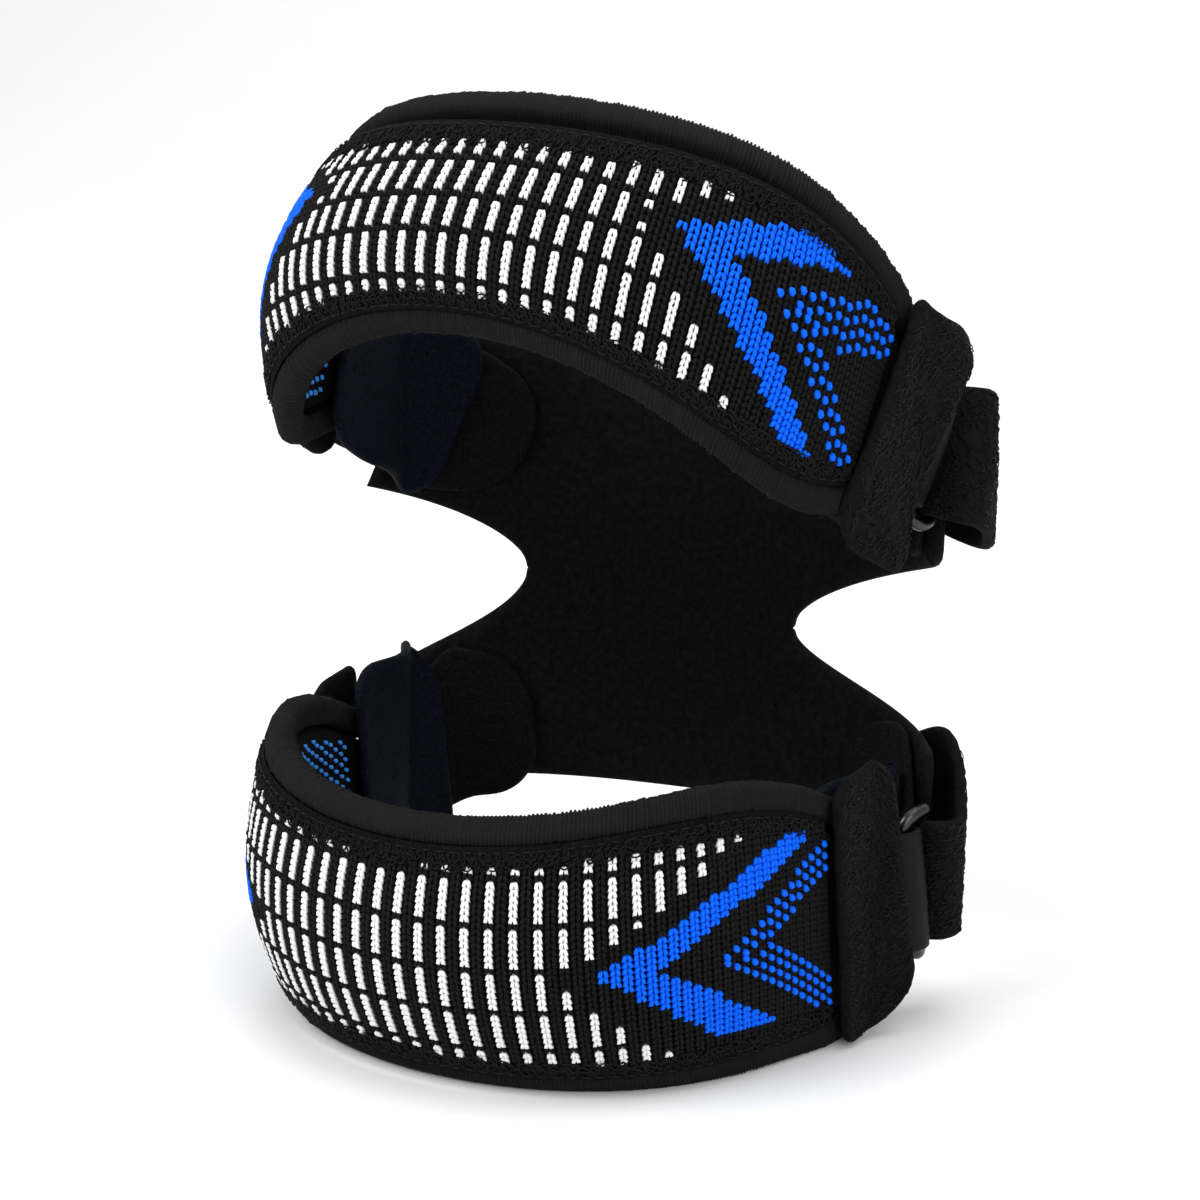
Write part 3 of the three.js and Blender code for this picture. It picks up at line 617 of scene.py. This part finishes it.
class Slab:
    """A flat piece with rounded corners and soft edges, laid on a wrap.

    top and bottom are each (reach from the middle line, radius at the start, radius at the end).
    """

    def __init__(self, wrap, sign, start, end, top, bottom, out, thickness, lift, slant=0.0):
        self.wrap = wrap
        self.sign = sign
        self.start = start
        self.end = end
        self.top = top
        self.bottom = bottom
        self.out = out
        self.thickness = thickness
        self.lift = lift
        self.slant = slant
        self.width = top[0] + bottom[0]

    def place(self, u, w):
        at = self.start + (self.end - self.start) * u
        top = self.top[0] + self.slant * (1 - u) - corner_cut(at, self.start, self.end, *self.top[1:])
        bottom = self.bottom[0] - corner_cut(at, self.start, self.end, *self.bottom[1:])
        reach = np.where(w > 0, top, bottom)
        border = np.minimum((1 - np.abs(w)) * reach, np.minimum(at - self.start, self.end - at))
        near = np.clip(border / (self.thickness * 0.6), 0, 1)
        return at, w * reach, np.sqrt(np.maximum(1 - (1 - near) ** 2, 0))

    def face(self, u, w, side, extra=0.0):
        at, rise, puff = self.place(u, w)
        out = self.out(at) + side * (self.thickness / 2 * puff + extra)
        return self.wrap.point(at, self.lift + rise, out, self.sign)

    def shell(self, shape, ripple=0.0, material=0):
        u = (1 - np.cos(np.linspace(0, 1, SLAB_ROWS) * math.pi))[:, None] / 2
        w = np.sin(np.linspace(-0.5, 0.5, SLAB_COLUMNS) * math.pi)[None, :]
        inside = (u > 0.001) & (u < 0.999) & (np.abs(w) < 0.999)
        bumps = chance.normal(0, 1, (SLAB_ROWS, SLAB_COLUMNS))
        bumps = (bumps + np.roll(bumps, 1, 0) + np.roll(bumps, 1, 1)) / 3 * ripple * inside
        for side in (1, -1):
            grid = self.face(u, w, side, bumps)
            if side * self.sign > 0:
                grid = grid[:, ::-1]
            shape.grid(grid, material)

    def normals(self, u, w, side):
        step = 0.01
        a = self.face(u, w, side)
        b = self.face(np.clip(u + step, 0, 1), w, side)
        c = self.face(u, np.clip(w + step, -1, 1), side)
        n = unit(np.cross(b - a, c - a))
        centre = self.wrap.point(0, 0, 0, self.sign)
        lean = np.sum(n * np.array([centre[0], centre[1], 0.0]), -1, keepdims=True)
        return n * np.sign(lean) * side

    def curls(self, shape, count, size, radius, heading, spread, side=1, material=1):
        """Short loops of pile, lying mostly along one heading."""
        u = chance.uniform(0.03, 0.97, count)
        w = chance.uniform(-0.97, 0.97, count)
        long = self.end - self.start
        reach = chance.uniform(0.6, 1.3, count)[:, None] * size
        angle = heading + chance.normal(0, spread, count)[:, None]
        bend = chance.normal(0, 1.1, count)[:, None]
        t = np.linspace(-0.5, 0.5, 6)[None, :]
        turn = angle + bend * t
        du = np.cumsum(np.cos(turn) * reach / 6, axis=1)
        dw = np.cumsum(np.sin(turn) * reach / 6, axis=1)
        uu = np.clip(u[:, None] + (du - du.mean(1, keepdims=True)) / long, 0.01, 0.99)
        ww = np.clip(w[:, None] + (dw - dw.mean(1, keepdims=True)) * 2 / self.width, -0.985, 0.985)
        lift = chance.uniform(0.1, 0.3, count)[:, None] * (1 - (2 * t) ** 2) - 0.03
        path = self.face(uu, ww, side, lift)
        shape.tubes(path, radius, 3, self.normals(u, w, side), material)


class Loop:
    """A flat strap that goes out, round a bar and back.

    puff lifts the outer leg off the bar, and cut is the reach of the inner end above and below its middle.
    """

    def __init__(self, wrap, sign, bar, radius, outer, inner, direction, leg_out, width, lift, thickness,
                 puff=0.0, cut=None, end_radius=1.0):
        legs, turns = 30, 20
        stations = []
        for i in range(legs):
            x = bar + (outer - bar) * math.cos(i / legs * math.pi / 2)
            raised = puff * float(smoothstep(abs(outer - x), 1, 13))
            lost, (top, bottom) = self.end_shape(x, bar, outer, width, cut, end_radius)
            stations.append((x, leg_out(x) + raised, top - lost, bottom - lost, lift(x)))
        for i in range(turns + 1):
            angle = i / turns * math.pi
            half = width(bar) / 2
            level = puff / 2 + (radius + puff / 2) * math.cos(angle)
            stations.append((bar - direction * radius * math.sin(angle), level, half, half, 0.0))
        for i in range(1, legs + 1):
            x = bar + (inner - bar) * math.sin(i / legs * math.pi / 2)
            lost, (top, bottom) = self.end_shape(x, bar, inner, width, cut, end_radius)
            stations.append((x, -leg_out(x), top - lost, bottom - lost, lift(x)))
        self.at, self.out, self.tops, self.bottoms, self.lifts = np.array(stations).T
        self.slope = unit(np.stack([np.gradient(self.at), np.gradient(self.out)], -1))
        steps = np.hypot(np.diff(self.at), np.diff(self.out))
        self.run = np.concatenate([[0], np.cumsum(steps)])
        self.wrap, self.sign, self.thickness = wrap, sign, thickness
        self.turned = -direction

    @staticmethod
    def end_shape(x, bar, end, width, cut, radius):
        """What an end's rounding takes off at x, and the reach above and below the middle there."""
        lost = float(corner_cut(abs(x - bar), -radius, abs(end - bar), radius, radius))
        grown = float(smoothstep(abs(x - bar), 0, abs(end - bar))) if cut else 0.0
        return lost, [width(x) / 2 * (1 - grown) + c * grown for c in cut or (0, 0)]

    def face(self, run, w, side, extra=0.0):
        run, w = np.broadcast_arrays(np.asarray(run, float), np.asarray(w, float))
        at, out, top, bottom, lift, sx, sy = (
            np.interp(run, self.run, values) for values in (
                self.at, self.out, self.tops, self.bottoms, self.lifts, self.slope[:, 0], self.slope[:, 1]))
        reach = np.where(w > 0, top, bottom)
        near = np.clip((1 - np.abs(w)) * reach / (self.thickness * 0.55), 0, 1)
        ends = np.minimum(run, self.run[-1] - run)
        near = np.minimum(near, np.clip(ends / (self.thickness * 0.55), 0, 1))
        puff = np.sqrt(np.maximum(1 - (1 - near) ** 2, 0))
        away = side * (self.thickness / 2 * puff + extra)
        return self.wrap.point(at - sy * away, lift + w * reach, out + sx * away, self.sign)

    def shell(self, shape, ribs=0.0, ripple=0.0, material=0, columns=25):
        run = np.unique(np.concatenate([self.run, [0.3, 0.8, self.run[-1] - 0.8, self.run[-1] - 0.3]]))
        w = np.sin(np.linspace(-0.5, 0.5, columns) * math.pi)[None, :]
        inside = (np.abs(w) < 0.999) & (run[:, None] > 0.01) & (run[:, None] < self.run[-1] - 0.01)
        line = ribs * np.cos(np.arange(columns) * math.pi)[None, :]
        bumps = (line + chance.normal(0, 1, (len(run), columns)) * ripple) * inside
        for side in (1, -1):
            grid = self.face(run[:, None], w, side, bumps)
            if side * self.sign * self.turned < 0:
                grid = grid[:, ::-1]
            shape.grid(grid, material)

    def curls(self, shape, count, size, radius, heading, spread, upto, side, material=1):
        run = chance.uniform(0.5, upto, count)
        w = chance.uniform(-0.95, 0.95, count)
        reach = chance.uniform(0.6, 1.3, count)[:, None] * size
        angle = heading + chance.normal(0, spread, count)[:, None]
        bend = chance.normal(0, 1.1, count)[:, None]
        t = np.linspace(-0.5, 0.5, 5)[None, :]
        turn = angle + bend * t
        du = np.cumsum(np.cos(turn) * reach / 5, axis=1)
        dw = np.cumsum(np.sin(turn) * reach / 5, axis=1)
        rr = np.clip(run[:, None] + du - du.mean(1, keepdims=True), 0.3, self.run[-1] - 0.3)
        ww = np.clip(w[:, None] + (dw - dw.mean(1, keepdims=True)) * 2 / STRAP_MEAN_WIDTH, -0.97, 0.97)
        lift = chance.uniform(0.1, 0.3, count)[:, None] * (1 - (2 * t) ** 2) - 0.03
        path = self.face(rr, ww, side, lift)
        inner = self.face(run, w, side)
        outer = self.face(run, w, side, 0.5)
        shape.tubes(path, radius, 3, unit(outer - inner), material)


def ring(wrap, label, sign):
    """A rounded rectangle of wire."""
    middle = (RING_FRONT + RING_REAR) / 2
    half_long = (RING_HEIGHT - RING_WIRE) / 2
    half_wide = (RING_REAR - RING_FRONT) / 2
    along, rise, angle = [], [], []
    per_corner, per_side = 8, 8
    corners = [(1, 1, 0), (-1, 1, 90), (-1, -1, 180), (1, -1, 270)]
    for c, (sa, sr, start) in enumerate(corners):
        for i in range(per_corner + 1):
            turn = math.radians(start + 90 * i / per_corner)
            along.append(sa * (half_wide - RING_CORNER) + RING_CORNER * math.cos(turn))
            rise.append(sr * (half_long - RING_CORNER) + RING_CORNER * math.sin(turn))
            angle.append(turn)
        na, nr, _ = corners[(c + 1) % 4]
        if na == sa:
            for i in range(1, per_side):
                share = i / per_side
                along.append(sa * half_wide)
                rise.append((sr + (nr - sr) * share) * (half_long - RING_CORNER))
                angle.append(math.radians(start + 90))
    along, rise, angle = (np.array(v)[:, None] for v in (along, rise, angle))
    around = np.linspace(0, 2 * math.pi, 17)[None, :-1]
    away = np.cos(around) * RING_WIRE / 2
    points = wrap.point(
        middle + along + away * np.cos(angle), rise + away * np.sin(angle),
        np.sin(around) * RING_WIRE / 2, sign)
    shape = Shape()
    shape.grid(points, closed_rows=True, closed_columns=True)
    dress(shape.object(label + "_ring_wire", [WIRE], weld=WELD), "ring", label + "_ring")


def fastening(band, wrap, side_name, sign):
    """The tab, webbing, ring, strap and flap at one end of a band."""
    sizes = band.sizes
    label = "%s_%s" % (sizes["name"], side_name)
    band_half = BINDING_THICKNESS / 2
    heading = -0.35 if sizes["name"] == "lower" else 0.9

    tab_bottom = UPPER_LEFT_TAB_BOTTOM if label == "upper_left" else sizes["tab_bottom"]
    tab = Slab(wrap, sign, TAB_START, TAB_END, sizes["tab_top"], tab_bottom,
               lambda at: band_half + SEAT_GAP + TAB_THICKNESS / 2 + 0 * at, TAB_THICKNESS - 0.3,
               sizes["tab_lift"])
    shape = Shape()
    tab.shell(shape, ripple=0.1)
    tab.curls(shape, TAB_CURLS, 1.9, 0.13, heading, 0.5)
    piece = shape.object(label + "_tab_pile", [PILE_GROUND, PILE_YARN], weld=WELD)
    dress(piece, "tab", label + "_outer_tab")

    bar_radius = RING_WIRE / 2 + RING_CLEARANCE
    loop_radius = bar_radius + WEBBING_THICKNESS / 2
    near = LEG_GAP + WEBBING_THICKNESS / 2

    def webbing_out(x):
        return float(near + (loop_radius - near) * smoothstep(x, RING_FRONT - WEBBING_RISE, RING_FRONT))

    webbing = Loop(wrap, sign, RING_FRONT, loop_radius, WEBBING_START, WEBBING_START, -1, webbing_out,
                   lambda x: WEBBING_WIDTH, lambda x: 0.0, WEBBING_THICKNESS)
    shape = Shape()
    webbing.shell(shape, ribs=0.07)
    dress(shape.object(label + "_webbing_tape", [TAPE], weld=WELD), "webbing", label + "_ring_webbing")

    ring(wrap, label, sign)

    strap_radius = max(PANEL_THICKNESS / 2 + ARM_GAP, bar_radius) + STRAP_THICKNESS / 2

    def opening(x):
        return float(smoothstep(x, RING_REAR - 2, STRAP_FULL_AT))

    strap = Loop(wrap, sign, RING_REAR, strap_radius, STRAP_OUTER_END, STRAP_INNER_END, 1,
                 lambda x: strap_radius,
                 lambda x: STRAP_AT_RING + (STRAP_AT_END - STRAP_AT_RING) * opening(x),
                 lambda x: sizes["arm_lift"] * opening(x), STRAP_THICKNESS - 0.2,
                 puff=sizes["puff"], cut=sizes["strap_cut"], end_radius=11.0)
    shape = Shape()
    strap.shell(shape, ripple=0.07)
    outer_side = -1
    strap.curls(shape, LEG_CURLS, 1.7, 0.12, heading, 0.6, LEG_RUN, outer_side)
    strap.curls(shape, STRAP_CURLS, 1.7, 0.12, heading, 0.6, strap.run[-1] - 1, outer_side)
    piece = shape.object(label + "_strap_pile", [PILE_GROUND, PILE_YARN], weld=WELD)
    dress(piece, "strap", label + "_strap")

    flap_near = band_half + FLAP_SEAT_GAP + FLAP_THICKNESS / 2
    flap_far = strap_radius + STRAP_THICKNESS / 2 + SEAT_GAP + FLAP_THICKNESS / 2
    flap_top, flap_slant = sizes["flap_top"], sizes["flap_slant"]
    if sign > 0:
        flap_top, flap_slant = RIGHT_FLAP_TOP, 0.0
    flap = Slab(wrap, sign, FLAP_START, sizes["flap_end"], flap_top, sizes["flap_bottom"],
                lambda at: -(flap_near + (flap_far - flap_near) * smoothstep(at, BAND_UNDER_TAB, RING_FRONT)),
                FLAP_THICKNESS - 0.2, sizes["flap_lift"], slant=flap_slant)
    shape = Shape()
    flap.shell(shape, ripple=0.05)
    flap.curls(shape, FLAP_CURLS, 0.8, 0.09, 1.2, 1.2, side=-1)
    dress(shape.object(label + "_flap_knit", [NAVY, NAVY], weld=WELD), "flap", label + "_inner_flap")


def panel_sheet():
    turns = np.arange(0, SIDE_TURN + 1)
    plan = panel_plan(turns)
    steps = np.linalg.norm(np.diff(plan, axis=0), axis=1)
    lengths = np.concatenate([[0], np.cumsum(steps)])
    heading = unit(np.diff(plan, axis=0))
    middles = (lengths[1:] + lengths[:-1]) / 2

    def point(across, level, out):
        length = np.abs(across)
        over = np.maximum(length - lengths[-1], 0)
        hx = np.interp(length, middles, heading[:, 0])
        hy = np.interp(length, middles, heading[:, 1])
        x = np.interp(length, lengths, plan[:, 0]) - hy * out + over * hx
        y = np.interp(length, lengths, plan[:, 1]) + hx * out + over * hy
        return np.stack([np.where(across < 0, -1, 1) * x, y, level + 0 * x], -1)

    return point


def back_panel(wraps):
    """The felt panel: a body between two notches and an arm to each strap, with pile on it."""
    point = panel_sheet()
    rows = 16
    arm_columns, body_columns = 34, 40

    def corner(wrap, side, rise):
        arc = wrap.start + ARM_END * math.cos(wrap.tilt) + rise * math.sin(wrap.tilt)
        level = wrap.sizes["middles"][2] - ARM_END * math.sin(wrap.tilt) + rise * math.cos(wrap.tilt)
        return side * (wrap.total - arc), level

    def columns(side, share, low):
        tip = NOTCH_SHIFT + side * NOTCH_SPACING / 2
        wrap = wraps["lower" if low else "upper"]
        lift = wrap.sizes["arm_lift"]
        outer_sign = -1 if low else 1
        outer_corner = corner(wrap, side, outer_sign * ARM_WIDTH / 2 + lift)
        inner_corner = corner(wrap, side, -outer_sign * wrap.sizes["arm_inner"] + lift)
        outer_middle = PANEL_LOWEST if low else PANEL_HIGHEST
        outer_across = tip + (outer_corner[0] - tip) * share
        bow = np.abs(outer_across / outer_corner[0]) ** 2
        outer_level = outer_middle + (outer_corner[1] - outer_middle) * bow
        inner_across = tip + (inner_corner[0] - tip) * share
        notch = NOTCH_LEVEL + NOTCH_SLOPE * tip
        inner_level = notch + (inner_corner[1] - notch) * share ** NOTCH_ROUNDING
        return outer_across, outer_level, inner_across, inner_level

    half = PANEL_THICKNESS / 2
    shape = Shape()
    t = np.sin(np.linspace(-0.5, 0.5, rows + 1) * math.pi)[None, :] / 2 + 0.5
    edges = {}
    patches = []
    for low in (True, False):
        for side in (-1, 1):
            share = np.linspace(0, 1, arm_columns + 1)[:, None] ** 1.5
            oa, ol, ia, il = columns(side, share, low)
            across, level = oa + (ia - oa) * t, ol + (il - ol) * t
            tall = np.hypot(ia - oa, il - ol)
            end = np.abs(across[-1:] - across)
            border = np.minimum(np.minimum(t, 1 - t) * tall, end)
            patches.append((across, level, border))
            edges[side, low] = (oa[0], ol[0], ia[0], il[0])
        share = np.linspace(0, 1, body_columns + 1)[:, None]
        left, right = edges[-1, low], edges[1, low]
        oa, ol, ia, il = (a + (b - a) * share for a, b in zip(left, right))
        across, level = oa + (ia - oa) * t, ol + (il - ol) * t
        border = t * np.hypot(ia - oa, il - ol)
        for tip_end in (left, right):
            border = np.minimum(border, np.hypot(across - tip_end[2], level - tip_end[3]))
        patches.append((across, level, border))
    for across, level, border in patches:
        near = np.clip(border / PANEL_ROUNDING, 0, 1)
        puff = np.sqrt(1 - (1 - near) ** 2)
        for side in (-1, 1):
            shape.grid(point(across, level, side * half * puff), 0)

    for side, count in ((-1, INSIDE_CURLS), (1, OUTSIDE_CURLS)):
        weights = [p[0].size for p in patches]
        for (across, level, border), share in zip(patches, np.array(weights) / sum(weights)):
            n = int(count * share)
            i = chance.integers(0, across.shape[0] - 1, n)
            j = chance.integers(0, across.shape[1] - 1, n)
            keep = border[i, j] > CURLS_CLEAR_OF_EDGE
            i, j = i[keep], j[keep]
            n = len(i)
            u, v = chance.uniform(0, 1, n), chance.uniform(0, 1, n)
            a = across[i, j] + (across[i + 1, j] - across[i, j]) * u
            z = level[i, j] + (level[i, j + 1] - level[i, j]) * v
            angle = chance.uniform(0, 2 * math.pi, n)[:, None]
            bend = chance.normal(0, 2.2, n)[:, None]
            s = np.linspace(-0.5, 0.5, 6)[None, :]
            turn = angle + bend * s
            reach = chance.uniform(1.5, 3.4, n)[:, None]
            aa = a[:, None] + np.cumsum(np.cos(turn) * reach / 6, axis=1)
            zz = z[:, None] + np.cumsum(np.sin(turn) * reach / 6, axis=1)
            out = side * (half + 0.02 + 0.08 * (1 - (2 * s) ** 2))
            normal = unit(point(a, z, side * 5.0) - point(a, z, 0.0))
            shape.tubes(point(aa, zz, out), 0.12, 3, normal, 1)
    dress(shape.object("back_panel_felt", [FELT, FELT_YARN], weld=PANEL_WELD), "panel", "back_panel")


bands = [Band(LOWER), Band(UPPER)]
wraps = {"lower": Wrap(LOWER), "upper": Wrap(UPPER)}
for band in bands:
    knit(band)
    for rim in (1, -1):
        binding(band, rim)
        seam(band, rim)
    for side_name, sign in (("left", -1), ("right", 1)):
        fastening(band, wraps[band.sizes["name"]], side_name, sign)
back_panel(wraps)


# The floor with a soft sweep up behind, and the lights.
def stage():
    half_width, front, back, radius, height = 3.0, -2.5, 1.6, 0.8, 2.6
    profile = [(front, 0.0), (back - radius, 0.0)]
    for i in range(1, 13):
        angle = i / 12 * math.pi / 2
        profile.append((back - radius + radius * math.sin(angle), radius - radius * math.cos(angle)))
    profile.append((back, height))
    points = [(x, y, z - 0.0002) for y, z in profile for x in (-half_width, half_width)]
    faces = [(2 * i, 2 * i + 1, 2 * i + 3, 2 * i + 2) for i in range(len(profile) - 1)]
    mesh = bpy.data.meshes.new("floor")
    mesh.from_pydata(points, [], faces)
    mesh.polygons.foreach_set("use_smooth", [True] * len(faces))
    floor = bpy.data.objects.new("floor", mesh)
    bpy.context.scene.collection.objects.link(floor)
    paint = fabric("floor_paint", (0.86, 0.86, 0.86), 0.7, 300.0, 0.0, mottle=0.0)
    mesh.materials.append(paint)


def soft_light(name, place, aim, size, power):
    data = bpy.data.lights.new(name, "AREA")
    data.shape = "RECTANGLE"
    data.size, data.size_y = size
    data.energy = power
    light = bpy.data.objects.new(name, data)
    light.location = place
    light.rotation_euler = (Vector(aim) - Vector(place)).to_track_quat("-Z", "Y").to_euler()
    bpy.context.scene.collection.objects.link(light)


stage()
CENTRE = (0.0, 0.0, 0.08)
soft_light("key", (-0.7, -1.1, 1.3), CENTRE, (1.0, 1.0), 20)
soft_light("fill", (1.3, -0.9, 0.8), CENTRE, (0.9, 1.2), 10)
soft_light("top", (0.1, 0.3, 1.7), CENTRE, (1.6, 1.2), 16)
world = bpy.data.worlds.new("studio")
world.use_nodes = True
world.node_tree.nodes["Background"].inputs["Color"].default_value = (1, 1, 1, 1)
world.node_tree.nodes["Background"].inputs["Strength"].default_value = 0.62
bpy.context.scene.world = world
bpy.context.scene.view_settings.view_transform = "Standard"

# The camera stands at the photograph's viewing angle.
AZIMUTH, ELEVATION, ROLL = math.radians(32.0), math.radians(13.158), math.radians(0.852)
DISTANCE, ASIDE, ABOVE = 570.0, -15.7, 7.27
TARGET = np.array([0.0, 44.46, 58.3])
back_to_camera = np.array([
    math.sin(AZIMUTH) * math.cos(ELEVATION), -math.cos(AZIMUTH) * math.cos(ELEVATION), math.sin(ELEVATION)])
level_right = np.array([math.cos(AZIMUTH), math.sin(AZIMUTH), 0.0])
level_up = np.cross(back_to_camera, level_right)
right = math.cos(ROLL) * level_right + math.sin(ROLL) * level_up
up = np.cross(back_to_camera, right)
eye = (TARGET + DISTANCE * back_to_camera + ASIDE * right + ABOVE * up) * MM
lens = bpy.data.cameras.new("camera")
lens.lens = 90
lens.sensor_width = 36
lens.clip_start = 0.01
camera = bpy.data.objects.new("camera", lens)
camera.matrix_world = Matrix((
    (right[0], up[0], back_to_camera[0], eye[0]),
    (right[1], up[1], back_to_camera[1], eye[1]),
    (right[2], up[2], back_to_camera[2], eye[2]),
    (0, 0, 0, 1),
))
bpy.context.scene.collection.objects.link(camera)
bpy.context.scene.camera = camera
